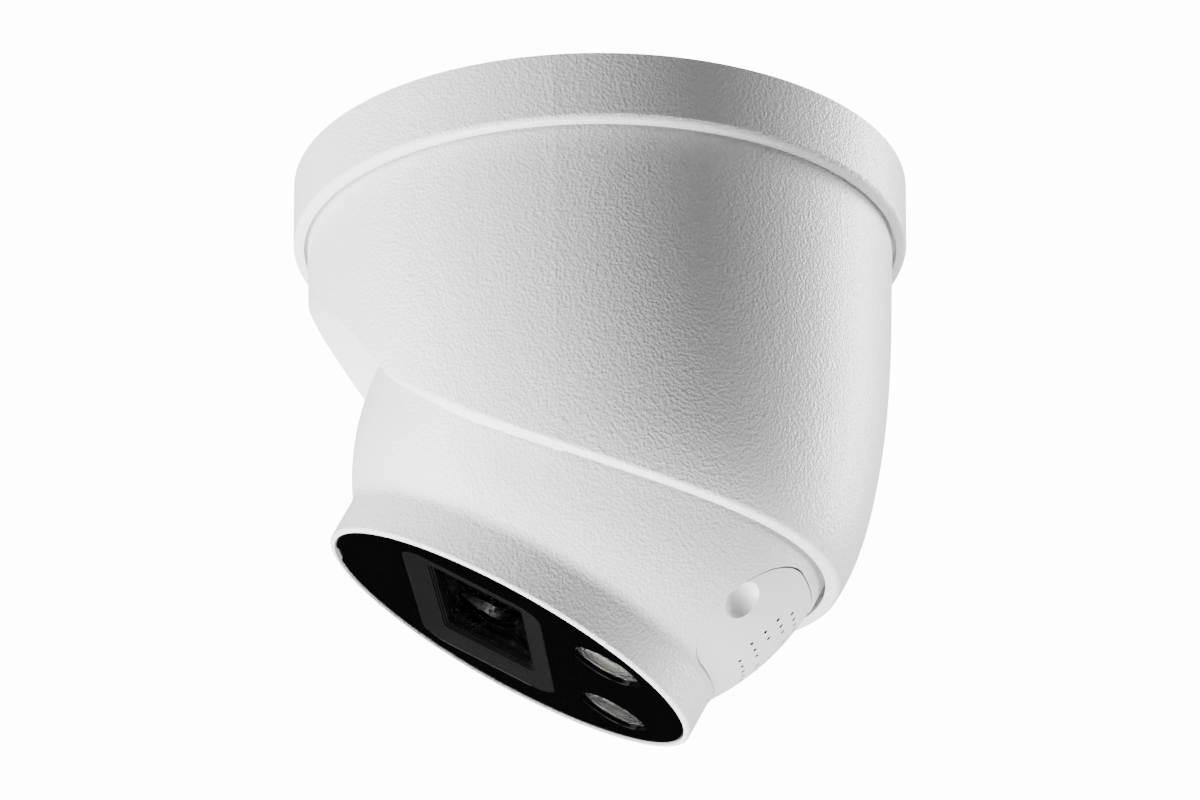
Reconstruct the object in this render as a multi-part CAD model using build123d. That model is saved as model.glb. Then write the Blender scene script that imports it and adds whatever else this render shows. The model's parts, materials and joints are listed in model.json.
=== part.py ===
from build123d import *
import math
import os

os.makedirs("parts", exist_ok=True)

# ---------------------------------------------------------------------------
# A turret security camera that hangs from a ceiling.  Millimetres, +Z up.
# The origin is the centre of the mounting face.  The camera looks towards -Y
# and down.  A base ring holds a housing that pans about Z, the housing holds a
# yoke that tilts about X, and the yoke holds the camera head, which turns
# about its own optical axis.
# ---------------------------------------------------------------------------

# ----- base -----
base_radius = 61.0            # outside of the base ring at the ceiling
base_draft = 0.26             # how much the ring narrows towards its lower edge
base_height = 13.7            # ceiling to the underside of the ring
ring_wall = 1.2
ring_edge_round = 1.3
ring_lip_reach = 2.3          # how far the lower lip comes in from the outside
ring_lip_thickness = 1.5
ring_flange_thickness = 2.5
ring_flange_width = 7.8
ring_screw_inset = 4.4        # from the ring's inner wall
plate_thickness = 4.0
plate_play = 0.1              # radial play of the plate in the ring
plate_rib_height = 1.2
ceiling_gasket_width = 4.0
ceiling_gasket_thickness = 1.0
ceiling_gasket_inset = 2.0
cable_bore_radius = 12.0
grommet_wall = 2.0
grommet_flange_thickness = 1.4
fixing_pcd = 84.0
fixing_hole_radius = 2.25
fixing_head_radius = 4.5
glide_thickness = 0.4

# ----- ball -----
ball_radius = 48.1
ball_centre_z = -61.0
shell_wall = 2.5
ball_clearance = 0.9          # housing to ball
split_distance = 8.0          # how far behind the centre the two head shells meet
rear_distance = 37.0          # flat back of the ball
rear_wall = 3.0
collar_radius = 39.3
collar_front = 37.0           # distance of the collar's rim from the ball's centre
collar_wall = 1.1
collar_fillet = 4.0
rim_round = 0.6
tilt_at_rest = 28.8           # optical axis from straight down, degrees
roll_at_rest = 6.2            # turn of the head about its axis, degrees

# ----- housing -----
housing_gap = 0.8             # housing to the base ring's lip
housing_wall = 2.8
flange_thickness = 1.8
flange_gap = 0.3              # radial play of the housing's flange in the ring
flange_play = 0.15            # axial play over the glide ring
# how far the shell's outside stands out beyond the ball, and the height from the ball's centre
housing_swell = [(8.7, 21.0), (5.2, -4.0), (-0.8, -21.0), (-4.7, -26.5)]
arch_radius = 45.4            # the round front cut, a cylinder along Y
arch_drop = 8.7               # its centre, below the ball's centre
# lower edge of the shell, seen from the side: Y, and the height from the ball's centre
lip_line = [(-33.6, 4.9), (-11.6, -8.7), (19.0, -19.2), (49.0, -23.6)]
lip_front_slope = 0.8
lip_back_slope = 0.1
lip_round = 1.1
arch_edge_round = 0.3

# ----- face -----
face_recess = 0.3             # face plate below the collar's rim
face_thickness = 2.0
face_gap = 0.1
face_gasket_thickness = 0.6
face_gasket_width = 2.0
face_edge_round = 0.3         # along the edges of the plate and its openings
recess_width = 54.4           # mouth of the lens recess
recess_height = 29.6
recess_centre = -6.5          # along the head's local Y
recess_corner = 5.5
recess_inset = 4.25           # width of the sloping wall
recess_depth = 1.15
ledge_width = 38.6            # opening in the ledge below the slope
ledge_height = 19.0
ledge_corner = 1.5
ledge_step = 0.35
baffle_depth = 3.6            # dark plate around the lens, below the face
baffle_thickness = 1.0
window_thickness = 0.8
lens_centre = -6.3
lens_inset = 0.9              # lens barrel's front below the baffle's
led_offset = 15.2             # of each light from the middle of the head
led_centre = 21.9
led_hole_radius = 6.95
led_lens_radius = 6.8
led_lens_depth = 1.05
microphone_at = (-1.0, -28.0)

# ----- yoke -----
yoke_gap = 0.4                # yoke to ball
yoke_thickness = 1.4
yoke_half_width = 9.0
yoke_plate_thickness = 2.0
yoke_plate_radius = 24.0
pivot_radius = 3.0
pivot_disc_radius = 6.5
running_clearance = 0.05
rear_boss_radius = 14.0
rear_boss_length = 5.0
rear_bore_radius = 9.0
nut_radius = 18.0
nut_thickness = 1.6

# ----- underside access cover -----
cover_length = 50.2
cover_width = 24.2
cover_centre = 15.1           # distance along the optical axis
cover_gap = 0.4
cover_sink = 0.2              # cover's outside below the ball's
cover_thickness = 2.4         # from the ball's outside
cover_ledge = 1.8
cover_skirt = 0.5             # extra thickness along the cover's edge
cover_gasket_thickness = 0.5
scoop_width = 8.2
scoop_depth = 2.5
scoop_centre = 22.2
speaker_hole_radius = 0.47
speaker_pitch = 3.2

MIN = (Align.CENTER, Align.CENTER, Align.MIN)
face_distance = collar_front - face_recess


def tube(outer, inner, low, high):
    """A ring about Z between two heights."""
    ring = Pos(0, 0, low) * Cylinder(outer, high - low, align=MIN)
    return ring - Pos(0, 0, low - 1) * Cylinder(inner, high - low + 2, align=MIN)


def drum(radius, back, front, at=(0, 0), bore=0.0):
    """A cylinder or ring along the optical axis; back and front are distances from the ball's centre."""
    solid = Pos(at[0], at[1], -front) * Cylinder(radius, front - back, align=MIN)
    if bore:
        solid -= Pos(at[0], at[1], -front - 1) * Cylinder(bore, front - back + 2, align=MIN)
    return solid


def slab(width, height, back, front, at=(0, 0), corner=0.0):
    """A plate across the optical axis, with rounded corners."""
    outline = RectangleRounded(width, height, corner) if corner else Rectangle(width, height)
    return Pos(at[0], at[1], -front) * extrude(outline, amount=front - back)


def ring_of(count, radius, start=0.0):
    """Places evenly spaced on a circle."""
    turns = [math.radians(start + 360 * i / count) for i in range(count)]
    return [(radius * math.cos(turn), radius * math.sin(turn)) for turn in turns]


def group(solids):
    """Identical separate solids that share one node."""
    return Compound(children=list(solids))


def screw(head_radius, head_height, shank_radius, length, slot=1.6):
    """A cross-recessed pan-head screw: head above Z = 0, shank below."""
    head = Cylinder(head_radius, head_height, align=MIN)
    head = fillet(head.edges().group_by(Axis.Z)[-1], head_height * 0.45)
    for turn in (0, 90):
        head -= Pos(0, 0, head_height) * Rot(0, 0, turn) * Box(slot * 2, slot * 0.3, head_height)
    return head + Pos(0, 0, -length) * Cylinder(shank_radius, length, align=MIN)


# ===========================================================================
# Base: fixed to the ceiling
# ===========================================================================
ring_bore = base_radius - ring_wall
ring_lip_radius = base_radius - ring_lip_reach
ring_flange_radius = ring_bore - ring_flange_width
plate_bottom = -plate_thickness
flange_bottom = plate_bottom - ring_flange_thickness
lip_top = -base_height + ring_lip_thickness
ring_screw_places = ring_of(3, ring_bore - ring_screw_inset, 90)
ring_screw_radius = 1.5
ring_screw_depth = 2.5
ring_screw_head = (2.7, 1.7)
fixing_places = ring_of(3, fixing_pcd / 2, 30)


def make_mounting_plate():
    plate = Pos(0, 0, plate_bottom) * Cylinder(ring_bore - plate_play, plate_thickness, align=MIN)
    plate -= Pos(0, 0, plate_bottom - 1) * Cylinder(cable_bore_radius, plate_thickness + 2, align=MIN)
    groove_radius = ring_bore - ceiling_gasket_inset
    plate -= tube(groove_radius, groove_radius - ceiling_gasket_width, -ceiling_gasket_thickness, 1)
    sink = fixing_head_radius - fixing_hole_radius
    for x, y in fixing_places:
        plate -= Pos(x, y, plate_bottom - 1) * Cylinder(fixing_hole_radius, plate_thickness + 2, align=MIN)
        plate -= Pos(x, y, plate_bottom) * Cone(fixing_head_radius, fixing_hole_radius, sink, align=MIN)
    for x, y in ring_screw_places:
        plate -= Pos(x, y, plate_bottom - 1) * Cylinder(ring_screw_radius, ring_screw_depth + 1, align=MIN)
    # stiffening ribs on the underside, clear of the fixing holes
    for turn in (0, 60, 120):
        bar = Box(2 * ring_flange_radius - 1, 1.6, plate_rib_height, align=MIN)
        rib = Pos(0, 0, plate_bottom - plate_rib_height) * Rot(0, 0, turn) * bar
        plate += rib - Pos(0, 0, plate_bottom - 2) * Cylinder(cable_bore_radius + 5, 4, align=MIN)
    return plate


def make_base_ring():
    outer = Pos(0, 0, -base_height) * Cone(base_radius - base_draft, base_radius, base_height, align=MIN)
    lower_edge = outer.edges().group_by(Axis.Z)[0]
    outer = fillet(lower_edge, ring_edge_round)
    ring = outer - Pos(0, 0, plate_bottom) * Cylinder(ring_bore, plate_thickness + 1, align=MIN)
    ring -= Pos(0, 0, lip_top) * Cylinder(ring_bore, flange_bottom - lip_top, align=MIN)
    ring -= Pos(0, 0, -base_height - 1) * Cylinder(ring_lip_radius, ring_lip_thickness + 2, align=MIN)
    ring -= Pos(0, 0, flange_bottom - 1) * Cylinder(ring_flange_radius, ring_flange_thickness + 2, align=MIN)
    hole = Cylinder(ring_screw_radius, ring_flange_thickness + 2, align=MIN)
    for x, y in ring_screw_places:
        ring -= Pos(x, y, flange_bottom - 1) * hole
    return ring


def make_ring_screws():
    length = ring_flange_thickness + ring_screw_depth
    one = Rot(180, 0, 0) * screw(*ring_screw_head, ring_screw_radius, length)
    return group(Pos(x, y, flange_bottom) * one for x, y in ring_screw_places)


def make_cable_grommet():
    bore = cable_bore_radius - grommet_wall
    low = plate_bottom - grommet_flange_thickness
    return tube(cable_bore_radius, bore, low, 0) + tube(cable_bore_radius + 2.5, bore, low, plate_bottom)


groove_outer = ring_bore - ceiling_gasket_inset
ceiling_gasket = tube(groove_outer, groove_outer - ceiling_gasket_width, -ceiling_gasket_thickness, 0)
pan_glide_ring = tube(ring_bore, ring_lip_radius, lip_top, lip_top + glide_thickness)

# ===========================================================================
# Housing: pans about Z
# ===========================================================================
housing_top_radius = ring_lip_radius - housing_gap
housing_profile = [(housing_top_radius, -base_height)]
housing_profile += [(ball_radius + swell, ball_centre_z + height) for swell, height in housing_swell]
arch_centre_z = ball_centre_z - arch_drop
flange_low = lip_top + glide_thickness + flange_play
flange_high = flange_low + flange_thickness
flange_radius = ring_bore - flange_gap
bushing_wall = 1.0
bushing_bore = pivot_radius + running_clearance
boss_face = ball_radius + yoke_gap + yoke_thickness + 0.5     # inner face of the pivot bosses
bushing_end = boss_face + 2.0


def revolve_profile(points, low_z, high_z):
    """A solid of revolution inside a smooth outline that is closed on the axis."""
    curve = Spline([(radius, 0, z) for radius, z in points])
    top = (points[0][0], 0, high_z)
    edge = Polyline(curve @ 0, top, (0, 0, high_z), (0, 0, low_z), curve @ 1)
    return revolve(make_face(Curve() + [curve, edge]), Axis.Z)


def below_lip():
    """Everything under the shell's lower edge, as a block along X."""
    far = 2 * base_radius
    (first_y, first_z), (last_y, last_z) = lip_line[0], lip_line[-1]
    curve = Spline([(0, y, z) for y, z in lip_line])
    front = (0, -far, first_z + lip_front_slope * (first_y + far))
    back = (0, far, last_z - lip_back_slope * (far - last_y))
    edge = Polyline(curve @ 1, back, (0, far, -far), (0, -far, -far), front, curve @ 0)
    face = make_face(Curve() + [curve, edge])
    return Pos(-far, 0, ball_centre_z) * extrude(face, amount=2 * far, dir=(1, 0, 0))


def is_outer_lip(edge):
    """True for the long edges where the shell's outside meets its lower face."""
    middle = edge @ 0.5
    from_ball = (middle - Vector(0, 0, ball_centre_z)).length
    outside = from_ball > ball_radius + ball_clearance + 0.8 * housing_wall
    return edge.length > 30 and middle.Z < ball_centre_z + lip_line[0][1] and outside


def is_arch_edge(edge):
    """True for the edges where the front arch meets the shell's outside."""
    middle = edge @ 0.5
    from_arch = math.hypot(middle.X, middle.Z - arch_centre_z) - arch_radius
    from_ball = (middle - Vector(0, 0, ball_centre_z)).length
    return edge.length > 30 and abs(from_arch) < 0.1 and from_ball > ball_radius + ball_clearance + 1


def make_housing_shell():
    low_z = housing_profile[-1][1]
    outer = revolve_profile(housing_profile, low_z, flange_low)
    inner_points = [(radius - housing_wall, z) for radius, z in housing_profile]
    inner = revolve_profile(inner_points, low_z, flange_high + 1)
    whole = outer + Pos(0, 0, flange_low) * Cylinder(flange_radius, flange_thickness, align=MIN)
    # the round tunnel behind the front arch has a wall of its own
    along_y = Rot(90, 0, 0)
    reach = 2 * base_radius
    tunnel = Pos(0, 0, arch_centre_z) * along_y * Cylinder(arch_radius + housing_wall, reach, align=MIN)
    shell = (whole - inner) + (outer & tunnel)
    for side in (-1, 1):
        disc = Rot(0, side * 90, 0) * Cylinder(pivot_disc_radius, 4, align=MIN)
        shell += (Pos(side * boss_face, 0, ball_centre_z) * disc) & outer
    shell -= Pos(0, 0, arch_centre_z) * along_y * Cylinder(arch_radius, reach, align=MIN)
    shell -= below_lip()
    shell -= Pos(0, 0, ball_centre_z) * Sphere(ball_radius + ball_clearance)
    for side in (-1, 1):
        hole = Cylinder(bushing_bore + bushing_wall, bushing_end - boss_face + 5, align=MIN)
        shell -= Pos(side * bushing_end, 0, ball_centre_z) * Rot(0, -side * 90, 0) * hole
        disc = Cylinder(pivot_disc_radius + 1.0, 8, align=MIN)
        shell -= Pos(side * boss_face, 0, ball_centre_z) * Rot(0, -side * 90, 0) * disc
    lip_edges = [edge for edge in shell.edges() if is_outer_lip(edge)]
    shell = fillet(lip_edges, lip_round)
    arch_edges = [edge for edge in shell.edges() if is_arch_edge(edge)]
    return fillet(arch_edges, arch_edge_round)


def make_pivot_bushings():
    ring = Cylinder(bushing_bore + bushing_wall, bushing_end - boss_face, align=MIN)
    ring -= Cylinder(bushing_bore, bushing_end, align=MIN)
    return group(Pos(side * boss_face, 0, ball_centre_z) * Rot(0, side * 90, 0) * ring for side in (-1, 1))


# ===========================================================================
# Yoke: tilts about X through the ball's centre
# ===========================================================================
arm_inner = ball_radius + yoke_gap
arm_outer = arm_inner + yoke_thickness
plate_front = -rear_distance - yoke_gap
plate_back = plate_front - yoke_plate_thickness


def make_tilt_yoke():
    shell = Sphere(arm_outer) - Sphere(arm_inner)
    strip = slab(2 * arm_outer, 2 * yoke_half_width, plate_front - 1, 0)
    yoke = shell & strip
    bridge = slab(2 * arm_outer, 2 * yoke_half_width, plate_back, plate_front) & Sphere(arm_outer)
    yoke += bridge + drum(yoke_plate_radius, plate_back, plate_front)
    for side in (-1, 1):
        disc = Cylinder(pivot_disc_radius, yoke_thickness, align=MIN)
        yoke += Pos(side * arm_inner, 0, 0) * Rot(0, side * 90, 0) * disc
        root = slab(14, 2 * pivot_disc_radius, -pivot_disc_radius, 0, at=(side * (arm_inner - 1), 0))
        yoke += root & shell
    yoke -= Sphere(arm_inner - 0.1) & drum(arm_outer, plate_front, arm_outer)
    yoke -= drum(rear_boss_radius + running_clearance, plate_back - 1, plate_front + 1)
    for side in (-1, 1):
        hole = Cylinder(pivot_radius, 20, align=MIN)
        yoke -= Pos(side * (arm_inner - 5), 0, 0) * Rot(0, side * 90, 0) * hole
    return yoke


def make_pivot_pins():
    pin = Cylinder(pivot_radius, bushing_end - arm_inner - 0.3, align=MIN)
    pin = chamfer(pin.edges().group_by(Axis.Z)[-1], 0.4)
    return group(Pos(side * arm_inner, 0, 0) * Rot(0, side * 90, 0) * pin for side in (-1, 1))


def make_friction_washers():
    washer = Cylinder(pivot_disc_radius - 0.5, 0.4, align=MIN) - Cylinder(pivot_radius, 2, align=MIN)
    return group(Pos(side * arm_outer, 0, 0) * Rot(0, side * 90, 0) * washer for side in (-1, 1))


# ===========================================================================
# Head: turns about the optical axis, which is local -Z; local +Y is its underside
# ===========================================================================
ball_inner = ball_radius - shell_wall
face_back = face_distance - face_thickness
gasket_back = face_back - face_gasket_thickness
ledge_radius = collar_radius - collar_wall - face_gasket_width - 0.8
collar_bore = collar_radius - collar_wall
spigot = 3.0
shell_screw_places = ring_of(4, 35.0, 45)
shell_screw_seat = -22.0
shell_screw_engagement = 7.0
boss_radius = 3.6
boss_front = 1.5
spigot_play = 0.15
spigot_radius = math.sqrt(ball_inner**2 - split_distance**2) - spigot_play
spigot_wall = 2.0
seal_section = 0.8            # radius of the round cord between the two shells
board_post_radius = 3.0
board_post_places = [(x, y) for x in (-28.5, 28.5) for y in (-19.0, 17.0)]
pad_depth = 2.6               # wall around the access opening, below the cover
seat_floor = ball_radius - cover_thickness - cover_skirt - cover_gasket_thickness
pad_inner = ball_radius - cover_thickness - pad_depth
cover_face = Plane((0, 0, -cover_centre), x_dir=(1, 0, 0), z_dir=(0, 1, 0))


def stadium(length, width, low, high):
    """A slot-shaped prism along local Y, centred on the access cover."""
    outline = SlotOverall(length, width)
    return Pos(0, low, 0) * extrude(cover_face * outline, amount=high - low)


def make_head_front_shell():
    ball = Sphere(ball_radius) & drum(ball_radius + 1, -split_distance, collar_front)
    ball += drum(collar_radius, 10, collar_front)
    rim = ball.edges().filter_by(GeomType.CIRCLE).sort_by(Axis.Z)[0]
    ball = fillet(rim, rim_round)
    neck_z = -math.sqrt(ball_radius**2 - collar_radius**2)
    neck = [e for e in ball.edges().filter_by(GeomType.CIRCLE) if abs(e.center().Z - neck_z) < 0.2]
    ball = fillet(neck, collar_fillet)
    inside = Sphere(ball_inner) & drum(ball_inner + 1, -60, collar_front - 9)
    shell = ball - inside
    shell -= drum(ledge_radius, 10, collar_front + 1)
    shell -= drum(collar_bore, gasket_back, collar_front + 1)
    # screw bosses for the rear shell, joined to the inner wall
    for x, y in shell_screw_places:
        post = drum(boss_radius, -split_distance, boss_front, at=(x, y))
        web = slab(12, 4.5, -split_distance, boss_front, at=(40, 0))
        web = Rot(0, 0, math.degrees(math.atan2(y, x))) * web
        shell += (post + web) & Sphere(ball_radius - 0.5)
    room_front = -split_distance + spigot + spigot_play
    room_bore = spigot_radius - spigot_wall - spigot_play
    shell -= drum(spigot_radius + spigot_play, -split_distance - 1, room_front, bore=room_bore)
    for x, y in shell_screw_places:
        shell -= drum(1.25, -split_distance - 1, -split_distance + shell_screw_engagement, at=(x, y))
    # posts that carry the circuit boards, joined to the wall of the collar
    for x, y in board_post_places:
        post = drum(board_post_radius, main_board_front, collar_front - 4, at=(x, y))
        shell += post & Sphere(ball_radius - 0.5)
        shell -= drum(1.25, main_board_front - 1, main_board_front + 6, at=(x, y))
    # seat and window for the access cover, with a ledge that the cover's gasket rests on
    pad = stadium(cover_length + 4, cover_width + 4, 20, ball_radius)
    shell += (pad & Sphere(ball_inner + 0.1)) - Sphere(pad_inner)
    pocket = stadium(cover_length + 2 * cover_gap, cover_width + 2 * cover_gap, 20, ball_radius + 1)
    shell -= pocket - Sphere(seat_floor)
    opening = (cover_length - 2 * cover_ledge - 3, cover_width - 2 * cover_ledge - 2)
    shell -= stadium(*opening, 20, ball_radius + 1)
    return shell


def make_head_rear_shell():
    ball = Sphere(ball_radius) & drum(ball_radius + 1, -rear_distance, -split_distance)
    hollow = Sphere(ball_inner) & drum(ball_radius, -rear_distance + rear_wall, split_distance)
    shell = ball - hollow
    spigot_bore = spigot_radius - spigot_wall
    shell += drum(spigot_radius, -split_distance - 2, -split_distance + spigot, bore=spigot_bore)
    for x, y in shell_screw_places:
        post = drum(boss_radius, shell_screw_seat - 4, -split_distance, at=(x, y))
        shell += post & Sphere(ball_radius - 0.5)
    for x, y in shell_screw_places:
        shell -= drum(1.65, -60, 0, at=(x, y))
        shell -= drum(3.0, -60, shell_screw_seat, at=(x, y))
        shell -= drum(boss_radius + 0.2, -split_distance, 10, at=(x, y))
    shell -= seal_cord()
    boss_end = -rear_distance - rear_boss_length
    shell += drum(rear_boss_radius, boss_end, -rear_distance + 0.5)
    shell -= drum(rear_bore_radius, boss_end - 1, -rear_distance + rear_wall + 1)
    groove_front = boss_end + 0.8 + nut_thickness
    neck = drum(rear_boss_radius + 1, boss_end + 0.8, groove_front, bore=rear_boss_radius - 1.5)
    return shell - neck


def seal_cord():
    """Round cord in the spigot's groove, pressed flat by the front shell's bore."""
    cord = Pos(0, 0, split_distance - spigot / 2) * Torus(spigot_radius - seal_section / 2, seal_section)
    return cord & drum(spigot_radius + spigot_play, -split_distance, 0)


def make_retaining_ring():
    boss_end = -rear_distance - rear_boss_length
    ring = drum(nut_radius, boss_end + 0.8, boss_end + 0.8 + nut_thickness, bore=rear_boss_radius - 1.5)
    return ring - slab(2 * nut_radius, 5, boss_end, boss_end + 5, at=(nut_radius, 0))


def make_cable_gland():
    boss_end = -rear_distance - rear_boss_length
    gland = drum(rear_bore_radius, boss_end, -rear_distance + rear_wall, bore=3.2)
    inside = -rear_distance + rear_wall
    gland += drum(rear_bore_radius + 2, inside, inside + 1.6, bore=3.2)
    nose = Pos(0, 0, -boss_end) * Cone(rear_bore_radius - 0.6, 5.2, 6, align=MIN)
    gland += nose - drum(3.2, boss_end - 10, boss_end + 1)
    return gland


def make_shell_screws():
    one = screw(2.7, 2.0, 1.25, abs(shell_screw_seat) - split_distance + shell_screw_engagement - 0.5)
    return group(Pos(x, y, -shell_screw_seat) * one for x, y in shell_screw_places)


def recess_cut():
    """The lens recess: walls that slope down to a ledge."""
    mouth = RectangleRounded(recess_width, recess_height, recess_corner)
    floor_size = (recess_width - 2 * recess_inset, recess_height - 2 * recess_inset)
    floor = RectangleRounded(*floor_size, recess_corner / 2)
    slope = loft([Pos(0, 0, 0) * mouth, Pos(0, 0, recess_depth) * floor])
    return Pos(0, recess_centre, -face_distance) * slope


def recess_slab(extra, back, front, corner=recess_corner):
    """A plate with the outline of the recess's mouth, that much larger."""
    centre = (0, recess_centre)
    return slab(recess_width + extra, recess_height + extra, back, front, at=centre, corner=corner)


def ledge_slab(extra, back, front):
    """A plate with the outline of the ledge's opening, that much larger."""
    centre = (0, recess_centre)
    return slab(ledge_width + extra, ledge_height + extra, back, front, at=centre, corner=ledge_corner)


def make_front_cover():
    plate = drum(collar_bore - face_gap, face_back, face_distance)
    plate -= recess_slab(0, face_back - 1, face_distance + 1)
    for side in (-1, 1):
        plate -= drum(led_hole_radius, face_back - 1, face_distance + 1, at=(side * led_offset, led_centre))
    plate = fillet(plate.edges().group_by(Axis.Z)[0], face_edge_round)
    plate -= drum(0.5, face_back - 1, face_distance + 1, at=microphone_at)
    # a small locating notch at the top of the face
    plate -= slab(8, 2.4, face_distance - 0.6, face_distance + 1, at=(-1.0, -collar_bore))
    return plate


hood_back = face_distance - baffle_depth
baffle_back = hood_back - baffle_thickness
lens_front = hood_back - lens_inset
lens_at = (0, lens_centre)
window_border = 2.8           # window wider than the opening it covers
ledge_steps = 2


def make_lens_hood():
    hood = recess_slab(0, hood_back, face_distance - 0.1)
    flange = recess_slab(3, hood_back, face_back)
    hood += flange & drum(ledge_radius - 0.2, hood_back, face_back)
    hood -= recess_cut()
    for i in range(ledge_steps + 1):
        low = face_distance - recess_depth - (i + 1) * ledge_step
        hood -= ledge_slab(2 * (ledge_steps - i) * ledge_step, low, face_distance)
    hood -= ledge_slab(0, hood_back - 1, face_distance)
    hood -= ledge_slab(window_border + 0.2, hood_back - 1, hood_back + window_thickness)
    return hood


def make_lens_window():
    return ledge_slab(window_border, hood_back, hood_back + window_thickness)


def make_lens_baffle():
    baffle = recess_slab(-5, baffle_back, hood_back, corner=3)
    return baffle - drum(6.6, baffle_back - 1, hood_back + 1, at=lens_at)


def make_lens_barrel():
    barrel = drum(6.45, lens_front - 4, lens_front, at=lens_at) + drum(5.9, 20, lens_front - 4, at=lens_at)
    barrel -= drum(3.2, 19, lens_front + 1, at=lens_at)
    mouth = Pos(0, lens_centre, -lens_front) * Cone(5.6, 3.4, 1.4, align=MIN)
    return barrel - mouth


def make_lens_element(radius, front, bulge, thickness):
    """A round lens with a domed front."""
    sphere_radius = (radius**2 + bulge**2) / (2 * bulge)
    dome = Pos(0, lens_centre, -front + sphere_radius) * Sphere(sphere_radius)
    return dome & drum(radius, front - thickness, front + 0.01, at=lens_at)


front_element = make_lens_element(3.2, lens_front - 1.2, 0.9, 2.6)
rear_element = make_lens_element(3.2, 24.0, 0.6, 2.0)
lens_holder = drum(8.2, 17.0, 23.5, at=lens_at, bore=5.9) + slab(22, 16, 15.4, 17.0, at=lens_at, corner=1)
lens_holder -= drum(4.6, 15.0, 17.5, at=lens_at)
cut_filter = slab(8.2, 8.2, 17.0, 17.6, at=lens_at)
image_sensor = slab(8.4, 6.4, 14.0, 15.2, at=lens_at)
spacer_places = [(x, y) for x in (-15.0, 15.0) for y in (-17.0, 5.0)]

led_board_front = face_back - 5.2
led_board = slab(38, 13, led_board_front - 1.2, led_board_front, at=(0, led_centre - 0.8), corner=5)


def make_light_lens(side):
    """A clear disc with fine rings on its front and a stepped skirt behind."""
    at = (side * led_offset, led_centre)
    front = face_distance - led_lens_depth
    lens = drum(led_lens_radius, face_back, front, at=at)
    lens += drum(led_lens_radius + 1.0, face_back - 0.9, face_back, at=at)
    skirt_back = face_back - 0.9
    lens += Pos(*at, -skirt_back) * Cone(led_lens_radius, 3.4, skirt_back - led_board_front, align=MIN)
    for radius in (2.4, 3.7, 5.0):
        lens -= drum(radius + 0.2, front - 0.25, front + 1, at=at, bore=radius - 0.2)
    pocket = drum(2.5, led_board_front - 1, led_board_front + 1.4, at=at)
    return lens - pocket


def make_light_emitter(side):
    at = (side * led_offset, led_centre)
    body = slab(3.2, 3.2, led_board_front, led_board_front + 0.7, at=at)
    return body + drum(1.2, led_board_front + 0.6, led_board_front + 1.0, at=at)


microphone_boot = drum(2.6, face_back - 3.2, face_back, at=microphone_at, bore=0.5)
microphone_boot -= drum(2.0, face_back - 4, face_back - 1.6, at=microphone_at)
microphone = drum(2.0, face_back - 3.2, face_back - 1.6, at=microphone_at)

main_board_front = 4.0
board_thickness = 1.6
main_board_back = main_board_front - board_thickness


def make_main_board():
    board = slab(64, 44, main_board_back, main_board_front, at=(0, -2), corner=4)
    for x, y in board_post_places:
        board -= drum(1.4, main_board_back - 1, main_board_front + 1, at=(x, y))
    return board


processor = slab(14, 14, main_board_back - 1.8, main_board_back, at=(0, -8))
thermal_pad = slab(16, 16, main_board_back - 2.8, main_board_back - 1.8, at=(0, -8))
heat_spreader = slab(40, 30, main_board_back - 4.3, main_board_back - 2.8, at=(0, -6), corner=2)


def make_board_spacers():
    return group(drum(1.6, main_board_front, 12.4, at=(x, y)) for x, y in spacer_places)


def make_board_screws():
    """Four hold the main board to the shell's posts, from behind."""
    one = screw(2.3, 1.6, 1.25, board_thickness + 5)
    return group(Pos(x, y, -main_board_back) * one for x, y in board_post_places)


def make_spacer_screws():
    one = Rot(180, 0, 0) * screw(1.5, 1.1, 0.8, board_thickness, slot=1.0)
    return group(Pos(x, y, -14.0) * one for x, y in spacer_places)


def make_sensor_board():
    board = slab(36, 30, 12.4, 14.0, at=(0, -6), corner=1.5)
    for x, y in spacer_places:
        board -= drum(0.8, 12, 15, at=(x, y))
    return board


# ----- underside: access cover, speaker, card slot, reset button -----
cover_inner = ball_radius - cover_thickness


def speaker_holes():
    """Offsets of the sound holes from the middle of the cover: along X and along the optical axis."""
    pitch = speaker_pitch
    wide = [(column * pitch, row * 2 * pitch) for row in (-1, 1) for column in range(-2, 3)]
    outer = [(column * pitch, row * pitch) for row in (-1, 1) for column in (-3, -2, -1, 1, 2, 3)]
    middle = [(column * pitch, 0) for column in (-3, -2, 2, 3)]
    return wide + outer + middle


def cover_rim():
    """The band along the cover's edge, as a prism along local Y."""
    rim = stadium(cover_length, cover_width, 20, ball_radius + 1)
    return rim - stadium(cover_length - 2 * cover_ledge, cover_width - 2 * cover_ledge, 19, ball_radius + 2)


def make_access_cover():
    outline = stadium(cover_length, cover_width, 20, ball_radius + 1)
    thick = Sphere(cover_inner + 0.1) - Sphere(cover_inner - cover_skirt)
    cover = (outline & Sphere(ball_radius - cover_sink)) - Sphere(cover_inner)
    cover += cover_rim() & thick
    # thicken the wall under the finger scoop, then sink the scoop into it
    half_width = scoop_width / 2
    curve_radius = (half_width**2 + scoop_depth**2) / (2 * scoop_depth)
    surface = math.sqrt(ball_radius**2 - scoop_centre**2 - cover_centre**2)
    outward = Vector(scoop_centre, surface, -cover_centre).normalized()
    place = Pos(outward * (ball_radius + curve_radius - scoop_depth))
    bowl = place * Sphere(curve_radius + 1.0)
    well = stadium(cover_length - 2 * cover_ledge - 3.6, cover_width - 2 * cover_ledge - 2.6, 20, ball_radius)
    cover += (bowl & outline) & thick
    cover += (bowl & well) & Sphere(cover_inner + 0.1)
    cover -= place * Sphere(curve_radius)
    for x, z in speaker_holes():
        cover -= Pos(x, 30, z - cover_centre) * Rot(-90, 0, 0) * Cylinder(speaker_hole_radius, 30, align=MIN)
    return cover


def make_cover_gasket():
    return (cover_rim() & Sphere(cover_inner - cover_skirt)) - Sphere(seat_floor)


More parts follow.
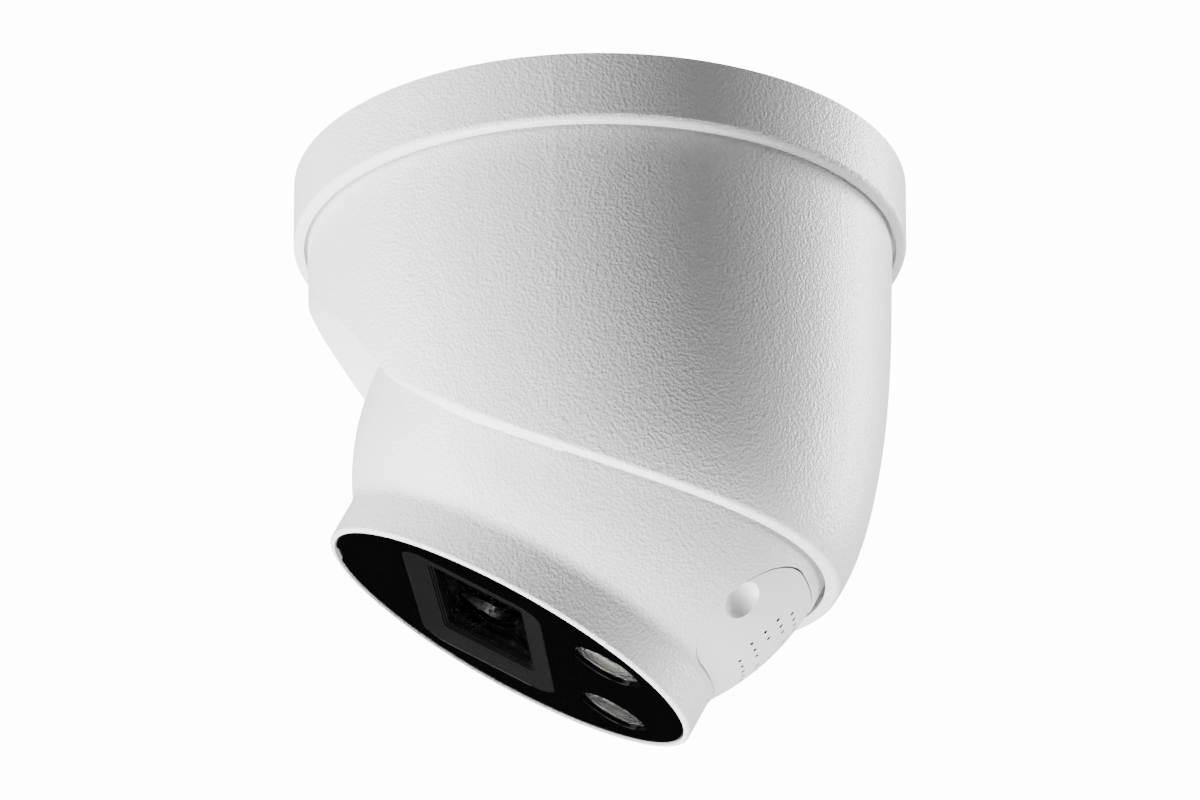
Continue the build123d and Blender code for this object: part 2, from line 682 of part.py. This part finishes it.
# The pieces below the cover stand square to the ball's surface at the cover's middle.
cover_lean = math.degrees(math.asin(cover_centre / ball_radius))
under = Rot(-90 - cover_lean, 0, 0)
speaker_radius = 7.6
speaker_top = 42.4
speaker_height = 4.0
service_board_low = 31.0
service_board_high = service_board_low + board_thickness
service_post_places = [(x, y) for x in (-20.6, 20.6) for y in (-6.8, 6.8)]
card_centre_x = -12.0
switch_x = 12.5
button_radius = 1.1
button_gap = 0.1
button_travel = 0.3
switch_height = 2.0
button_proud = 0.7


def make_speaker():
    frame = Pos(0, 0, speaker_top - speaker_height) * Cylinder(speaker_radius, speaker_height, align=MIN)
    frame -= Pos(0, 0, speaker_top - 0.9) * Cone(3.0, 5.8, 0.9, align=MIN)
    magnet = Pos(0, 0, speaker_top - speaker_height - 1.6) * Cylinder(5.5, 1.6, align=MIN)
    return under * (frame + magnet)


def make_speaker_gasket():
    ring = Pos(0, 0, speaker_top) * Cylinder(speaker_radius, 10, align=MIN)
    ring -= Pos(0, 0, speaker_top - 1) * Cylinder(speaker_radius - 1.6, 12, align=MIN)
    return (under * ring) & Sphere(cover_inner)


def make_service_board():
    outline = RectangleRounded(46, 17, 2)
    board = Pos(0, 0, service_board_low) * extrude(outline, amount=board_thickness)
    return under * board


def make_service_posts():
    post = Pos(0, 0, service_board_high) * Cylinder(1.5, 20, align=MIN)
    return group((under * Pos(x, y, 0) * post) & Sphere(pad_inner) for x, y in service_post_places)


def make_card_slot():
    shell = Pos(card_centre_x, 0, service_board_high) * Box(12.2, 13.0, 1.7, align=MIN)
    room = Pos(card_centre_x, 0, service_board_high + 0.4) * Box(11.2, 20.0, 0.9, align=MIN)
    return under * (shell - room)


def make_memory_card():
    return under * Pos(card_centre_x, 1.2, service_board_high + 0.4) * Box(11.0, 15.0, 0.8, align=MIN)


def make_reset_switch():
    body = Pos(switch_x, 0, service_board_high) * Box(4.4, 4.4, switch_height, align=MIN)
    well = Pos(switch_x, 0, service_board_high + 0.8) * Cylinder(button_radius + button_gap, 5, align=MIN)
    return under * (body - well)


def make_reset_button():
    low = service_board_high + 0.8 + button_travel + 0.1
    high = service_board_high + switch_height + button_proud
    button = Pos(switch_x, 0, low) * Cylinder(button_radius, high - low, align=MIN)
    return under * fillet(button.edges().group_by(Axis.Z)[-1], 0.3)


def main():
    head_place = Pos(0, 0, ball_centre_z) * Rot(-tilt_at_rest, 0, 0) * Rot(0, 0, roll_at_rest)
    yoke_place = Pos(0, 0, ball_centre_z) * Rot(-tilt_at_rest, 0, 0)
    base = {
        "ceiling_gasket": ceiling_gasket,
        "mounting_plate": make_mounting_plate(),
        "base_ring": make_base_ring(),
        "ring_screws": make_ring_screws(),
        "cable_grommet": make_cable_grommet(),
        "pan_glide_ring": pan_glide_ring,
    }
    housing = {
        "housing_shell": make_housing_shell(),
        "pivot_bushings": make_pivot_bushings(),
    }
    yoke = {
        "tilt_yoke": make_tilt_yoke(),
        "pivot_pins": make_pivot_pins(),
        "tilt_friction_washers": make_friction_washers(),
    }
    head = {
        "head_front_shell": make_head_front_shell(),
        "head_rear_shell": make_head_rear_shell(),
        "retaining_ring": make_retaining_ring(),
        "cable_gland": make_cable_gland(),
        "shell_screws": make_shell_screws(),
        "shell_seal": seal_cord(),
        "face_gasket": drum(collar_bore - face_gap, gasket_back, face_back, bore=ledge_radius + 0.2),
        "front_cover": make_front_cover(),
        "lens_hood": make_lens_hood(),
        "lens_window": make_lens_window(),
        "lens_baffle": make_lens_baffle(),
        "lens_barrel": make_lens_barrel(),
        "lens_front_element": front_element,
        "lens_rear_element": rear_element,
        "lens_holder": lens_holder,
        "infrared_cut_filter": cut_filter,
        "image_sensor": image_sensor,
        "sensor_board": make_sensor_board(),
        "warm_light_lens": make_light_lens(1),
        "infrared_light_lens": make_light_lens(-1),
        "warm_light_emitter": make_light_emitter(1),
        "infrared_light_emitter": make_light_emitter(-1),
        "light_board": led_board,
        "microphone": microphone,
        "microphone_boot": microphone_boot,
        "main_board": make_main_board(),
        "processor_chip": processor,
        "thermal_pad": thermal_pad,
        "heat_spreader": heat_spreader,
        "board_spacers": make_board_spacers(),
        "board_screws": make_board_screws(),
        "spacer_screws": make_spacer_screws(),
        "access_cover": make_access_cover(),
        "cover_gasket": make_cover_gasket(),
        "speaker": make_speaker(),
        "speaker_gasket": make_speaker_gasket(),
        "service_board": make_service_board(),
        "service_posts": make_service_posts(),
        "memory_card_slot": make_card_slot(),
        "memory_card": make_memory_card(),
        "reset_switch": make_reset_switch(),
        "reset_button": make_reset_button(),
    }
    for name, solid in base.items():
        export_step(solid, f"parts/{name}.step")
    for name, solid in housing.items():
        export_step(solid, f"parts/{name}.step")
    for name, solid in yoke.items():
        export_step(yoke_place * solid, f"parts/{name}.step")
    for name, solid in head.items():
        export_step(head_place * solid, f"parts/{name}.step")


main()
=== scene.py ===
import json
import math

import bpy
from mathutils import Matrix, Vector


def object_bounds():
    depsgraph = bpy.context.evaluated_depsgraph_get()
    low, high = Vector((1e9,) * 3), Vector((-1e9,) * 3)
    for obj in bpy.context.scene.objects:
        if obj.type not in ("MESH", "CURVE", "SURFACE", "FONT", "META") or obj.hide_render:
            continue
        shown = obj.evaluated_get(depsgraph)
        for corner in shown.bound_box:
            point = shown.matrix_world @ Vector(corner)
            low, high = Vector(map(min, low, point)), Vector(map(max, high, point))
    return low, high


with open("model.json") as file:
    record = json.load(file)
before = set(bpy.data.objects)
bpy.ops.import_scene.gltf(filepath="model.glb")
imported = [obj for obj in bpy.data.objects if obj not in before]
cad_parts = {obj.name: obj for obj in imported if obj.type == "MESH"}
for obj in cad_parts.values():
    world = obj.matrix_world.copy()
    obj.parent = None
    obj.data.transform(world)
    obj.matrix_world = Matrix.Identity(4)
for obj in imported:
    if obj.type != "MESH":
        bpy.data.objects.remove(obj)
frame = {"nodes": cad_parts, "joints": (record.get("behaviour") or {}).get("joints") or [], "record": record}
cad_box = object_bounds()

# ---------------------------------------------------------------------------
# Places, from the frame, in metres. The object faces -Y and is seen from its +X side; +Z is up.
# ---------------------------------------------------------------------------
ball_centre = Vector(next(joint["pos_m"] for joint in frame["joints"] if joint["name"] == "tilt"))
lowest_point = cad_box[0][2]

camera_azimuth = 8.3
camera_elevation = -23.2
camera_distance = 0.832
camera_aim = Vector((0.0, 0.0, -0.04436))
camera_lens_mm = 127.57
sensor_width_mm = 36.0


# ---------------------------------------------------------------------------
# Materials. Grains and bump depths are in metres.
# ---------------------------------------------------------------------------
def new_material(name, color, roughness, metallic=0.0, specular=0.5):
    """A principled material, its node tree and its shader."""
    material = bpy.data.materials.new(name)
    material.use_nodes = True
    shader = material.node_tree.nodes["Principled BSDF"]
    shader.inputs["Base Color"].default_value = (*color, 1.0)
    shader.inputs["Roughness"].default_value = roughness
    shader.inputs["Metallic"].default_value = metallic
    shader.inputs["Specular IOR Level"].default_value = specular
    return material, material.node_tree, shader


def add_node(tree, kind, **inputs):
    """A node with some of its sockets set; underscores in a socket's name stand for spaces."""
    node = tree.nodes.new(kind)
    for name, value in inputs.items():
        node.inputs[name.replace("_", " ")].default_value = value
    return node


def vector_math(tree, operation, *sources):
    """A vector maths node fed from the given outputs, in order."""
    node = tree.nodes.new("ShaderNodeVectorMath")
    node.operation = operation
    for source, socket in zip(sources, node.inputs):
        tree.links.new(source, socket)
    return node


def object_position(tree):
    """Each point's place in the piece's own space."""
    return tree.nodes.new("ShaderNodeTexCoord").outputs["Object"]


def noise(tree, grain, detail=2.0, roughness=0.5):
    """Noise whose grain is about that size."""
    node = add_node(tree, "ShaderNodeTexNoise", Scale=1.0 / grain, Detail=detail, Roughness=roughness)
    tree.links.new(object_position(tree), node.inputs["Vector"])
    return node.outputs["Fac"]


def add_bump(tree, shader, height, depth, strength=1.0, earlier=None):
    """Bump of that depth, on top of an earlier one if there is one."""
    bump = add_node(tree, "ShaderNodeBump", Strength=strength, Distance=depth)
    tree.links.new(height, bump.inputs["Height"])
    if earlier is not None:
        tree.links.new(earlier, bump.inputs["Normal"])
    tree.links.new(bump.outputs["Normal"], shader.inputs["Normal"])
    return bump.outputs["Normal"]


def map_range(tree, value, **limits):
    """The value moved from one range to another."""
    ramp = add_node(tree, "ShaderNodeMapRange", **limits)
    tree.links.new(value, ramp.inputs["Value"])
    return ramp.outputs["Result"]


def vary_roughness(tree, shader, value, low, high):
    """Lets the roughness follow a 0 to 1 value between two levels."""
    tree.links.new(map_range(tree, value, To_Min=low, To_Max=high), shader.inputs["Roughness"])


def mix_colors(tree, shader, value, first, second):
    """Lets the color follow a 0 to 1 value between two colors."""
    ramp = tree.nodes.new("ShaderNodeValToRGB")
    ramp.color_ramp.elements[0].color = (*first, 1.0)
    ramp.color_ramp.elements[1].color = (*second, 1.0)
    tree.links.new(value, ramp.inputs["Fac"])
    tree.links.new(ramp.outputs["Color"], shader.inputs["Base Color"])


def powder_coat():
    """White powder coat with a fine leathery grain: bent cells, and a finer noise on top."""
    cell_size = 0.0006
    cell_depth = 0.00011
    bend_grain = 0.0016
    bend_reach = 0.0009
    fine_grain = 0.0004
    fine_depth = 0.00005
    material, tree, shader = new_material("powder_coat", (0.8, 0.8, 0.8), 0.42)
    cells = add_node(tree, "ShaderNodeTexVoronoi", Scale=1.0 / cell_size)
    cells.feature = "SMOOTH_F1"
    cells.inputs["Smoothness"].default_value = 0.8
    place = object_position(tree)
    bend_noise = add_node(tree, "ShaderNodeTexNoise", Scale=1.0 / bend_grain, Detail=2.0)
    tree.links.new(place, bend_noise.inputs["Vector"])
    bent = tree.nodes.new("ShaderNodeVectorMath")
    bent.operation = "MULTIPLY_ADD"
    bent.inputs[1].default_value = (bend_reach, bend_reach, bend_reach)
    tree.links.new(bend_noise.outputs["Color"], bent.inputs[0])
    tree.links.new(place, bent.inputs[2])
    tree.links.new(bent.outputs["Vector"], cells.inputs["Vector"])
    pebbles = add_bump(tree, shader, cells.outputs["Distance"], cell_depth)
    add_bump(tree, shader, noise(tree, fine_grain, 3.0), fine_depth, 0.8, pebbles)
    vary_roughness(tree, shader, noise(tree, 0.004, 3.0), 0.3, 0.4)
    return material


def cover_white_painted_shade():
    """The access cover: moulded white, with painted shade on its edges and the insides of its holes."""
    material, tree, shader = new_material("cover_white_painted_shade", (0.8, 0.8, 0.8), 0.4)
    add_bump(tree, shader, noise(tree, 0.0007, 3.0), 0.00003, 0.25)
    vary_roughness(tree, shader, noise(tree, 0.006, 2.0), 0.36, 0.46)
    coordinates = tree.nodes.new("ShaderNodeTexCoord")
    from_centre = vector_math(tree, "SUBTRACT", coordinates.outputs["Object"])
    from_centre.inputs[1].default_value = ball_centre
    outward = vector_math(tree, "NORMALIZE", from_centre.outputs["Vector"])
    facing = vector_math(tree, "DOT_PRODUCT", outward.outputs["Vector"], coordinates.outputs["Normal"])
    # Painted shade: where the surface turns away from the ball's outward direction, on hole walls and edges,
    # the colour goes near black.
    shaded, lit = 0.3, 0.5
    painted_shade_ramp = map_range(tree, facing.outputs["Value"], From_Min=shaded, From_Max=lit)
    mix_colors(tree, shader, painted_shade_ramp, (0.02, 0.02, 0.02), (0.8, 0.8, 0.8))
    return material


def face_black():
    """Polished black face: nearly flat, with the faintest waviness."""
    material, tree, shader = new_material("face_black", (0.0008, 0.0008, 0.0009), 0.06, specular=0.15)
    shader.inputs["IOR"].default_value = 1.25
    add_bump(tree, shader, noise(tree, 0.03, 1.0), 0.00002, 0.2)
    vary_roughness(tree, shader, noise(tree, 0.012, 4.0), 0.05, 0.09)
    return material


def textured_black():
    """Spark-eroded black plastic of the lens recess."""
    material, tree, shader = new_material("textured_black", (0.003, 0.003, 0.003), 0.35)
    shader.inputs["IOR"].default_value = 1.06
    add_bump(tree, shader, noise(tree, 0.0003, 4.0, 0.7), 0.00012, 0.8)
    mix_colors(tree, shader, noise(tree, 0.0004, 3.0), (0.001, 0.001, 0.001), (0.009, 0.009, 0.009))
    return material


def clear(name, tint=(1.0, 1.0, 1.0), roughness=0.02, ior=1.46, clearness=1.0):
    """Clear glass or optics plastic; below 1 it is a little milky."""
    material, tree, shader = new_material(name, tint, roughness)
    shader.inputs["Transmission Weight"].default_value = clearness
    shader.inputs["IOR"].default_value = ior
    vary_roughness(tree, shader, noise(tree, 0.008, 3.0), roughness, roughness + 0.03)
    return material


def metal(name, color, roughness, grain=0.0006):
    """Bare, plated or anodised metal, and polished silicon."""
    material, tree, shader = new_material(name, color, roughness, metallic=1.0)
    add_bump(tree, shader, noise(tree, grain, 4.0), 0.00003, 0.4)
    vary_roughness(tree, shader, noise(tree, 0.003, 3.0), roughness - 0.06, roughness + 0.08)
    return material


def plain(name, color, roughness, grain=0.0008):
    """Rubber, boards and moulded parts."""
    material, tree, shader = new_material(name, color, roughness)
    add_bump(tree, shader, noise(tree, grain, 3.0), 0.00004, 0.5)
    darker = tuple(value * 0.75 for value in color)
    mix_colors(tree, shader, noise(tree, 0.003, 3.0), darker, color)
    return material


materials = {
    "white_coat": powder_coat(),
    # The access cover's material carries painted shade on its hole walls and edges.
    "white_plastic": cover_white_painted_shade(),
    "cast_alloy": metal("cast_alloy", (0.6, 0.6, 0.61), 0.45),
    "steel": metal("plated_steel", (0.62, 0.62, 0.63), 0.28, 0.0003),
    "seal_rubber": plain("seal_rubber", (0.03, 0.03, 0.03), 0.75),
    "bearing_plastic": plain("bearing_plastic", (0.75, 0.74, 0.7), 0.4),
    "black_gloss": face_black(),
    "black_texture": textured_black(),
    "black_anodised": metal("black_anodised", (0.03, 0.03, 0.033), 0.3, 0.0003),
    "clear_glass": clear("window_glass"),
    "coated_glass": clear("coated_glass", (0.75, 0.8, 1.0), 0.01, 1.6),
    "clear_plastic": clear("light_optics", (1.0, 0.99, 0.97), 0.03, 1.49, 0.985),
    "warm_phosphor": plain("warm_phosphor", (0.95, 0.72, 0.08), 0.5, 0.0002),
    "infrared_chip": plain("infrared_chip", (0.35, 0.33, 0.32), 0.4, 0.0002),
    "sensor_silicon": metal("sensor_silicon", (0.2, 0.22, 0.28), 0.12),
    "circuit_board": plain("circuit_board", (0.02, 0.16, 0.08), 0.35),
    "white_board": plain("white_board", (0.7, 0.7, 0.7), 0.4),
    "chip_plastic": plain("chip_plastic", (0.03, 0.03, 0.033), 0.5),
}

# The light board is white, where the record's slot only says that it is a circuit board.
slot_of = {part["node"]: part["material_slot"] for part in frame["record"]["subparts"]}
slot_of["light_board"] = "white_board"
for name, node in frame["nodes"].items():
    node.data.materials.clear()
    node.data.materials.append(materials[slot_of[name]])


# ---------------------------------------------------------------------------
# Surroundings, lights, camera and floor
# ---------------------------------------------------------------------------
def make_world():
    """White where the camera looks; as a light it is dim, and fades out towards the horizon."""
    world = bpy.data.worlds.new("studio")
    bpy.context.scene.world = world
    world.use_nodes = True
    tree = world.node_tree
    tree.nodes.clear()
    white = (1.0, 1.0, 1.0, 1.0)
    seen = add_node(tree, "ShaderNodeBackground", Strength=14.0, Color=white)
    fill = add_node(tree, "ShaderNodeBackground", Color=white)
    direction = tree.nodes.new("ShaderNodeSeparateXYZ")
    tree.links.new(tree.nodes.new("ShaderNodeTexCoord").outputs["Generated"], direction.inputs["Vector"])
    strength = map_range(tree, direction.outputs["Z"], From_Min=0.0, From_Max=0.5, To_Min=0.0, To_Max=0.4)
    tree.links.new(strength, fill.inputs["Strength"])
    path = tree.nodes.new("ShaderNodeLightPath")
    mix = tree.nodes.new("ShaderNodeMixShader")
    tree.links.new(path.outputs["Is Camera Ray"], mix.inputs["Fac"])
    tree.links.new(fill.outputs["Background"], mix.inputs[1])
    tree.links.new(seen.outputs["Background"], mix.inputs[2])
    out = tree.nodes.new("ShaderNodeOutputWorld")
    tree.links.new(mix.outputs["Shader"], out.inputs["Surface"])


def direction_at(azimuth, elevation):
    """The unit vector at those degrees around and up."""
    turn, rise = math.radians(azimuth), math.radians(elevation)
    return Vector((math.cos(rise) * math.cos(turn), math.cos(rise) * math.sin(turn), math.sin(rise)))


def add_to_scene(name, data):
    """A new object in the scene."""
    thing = bpy.data.objects.new(name, data)
    bpy.context.scene.collection.objects.link(thing)
    return thing


def soft_light(name, turn, elevation, distance, size, power):
    """A softbox that faces the ball: degrees to the right of the camera, degrees up, and metres away."""
    light = bpy.data.lights.new(name, "AREA")
    light.shape = "RECTANGLE"
    light.size, light.size_y = size
    light.energy = power
    lamp = add_to_scene(name, light)
    towards = direction_at(camera_azimuth + turn, elevation)
    lamp.location = ball_centre + distance * towards
    lamp.rotation_euler = (-towards).to_track_quat("-Z", "Y").to_euler()


def make_camera():
    """Looks at the object's +X side, from below and a little from behind."""
    data = bpy.data.cameras.new("camera")
    data.sensor_width = sensor_width_mm
    data.lens = camera_lens_mm
    camera = add_to_scene("camera", data)
    towards = direction_at(camera_azimuth, camera_elevation)
    camera.location = camera_aim + camera_distance * towards
    camera.rotation_euler = (-towards).to_track_quat("-Z", "Y").to_euler()
    bpy.context.scene.camera = camera


def make_floor():
    """A pale floor, far enough down to let the low lights shine up at the object."""
    reach = 2.0
    drop = 1.2
    level = lowest_point - drop
    corners = [(-reach, -reach, level), (reach, -reach, level), (reach, reach, level), (-reach, reach, level)]
    mesh = bpy.data.meshes.new("floor")
    mesh.from_pydata(corners, [], [(0, 1, 2, 3)])
    floor = add_to_scene("floor", mesh)
    material, tree, shader = new_material("floor_paper", (0.8, 0.8, 0.8), 0.8)
    mix_colors(tree, shader, noise(tree, 0.4, 2.0), (0.78, 0.78, 0.78), (0.82, 0.82, 0.82))
    floor.data.materials.append(material)


make_world()
make_camera()
make_floor()
soft_light("left_box", -80, -5, 0.95, (0.5, 0.9), 28.0)
soft_light("right_box", 115, 14, 0.95, (0.4, 0.7), 27.0)
soft_light("low_left_box", -90, -60, 0.9, (0.4, 0.4), 26.0)
soft_light("low_box", 0, -89.9, 0.85, (0.4, 0.4), 6.0)
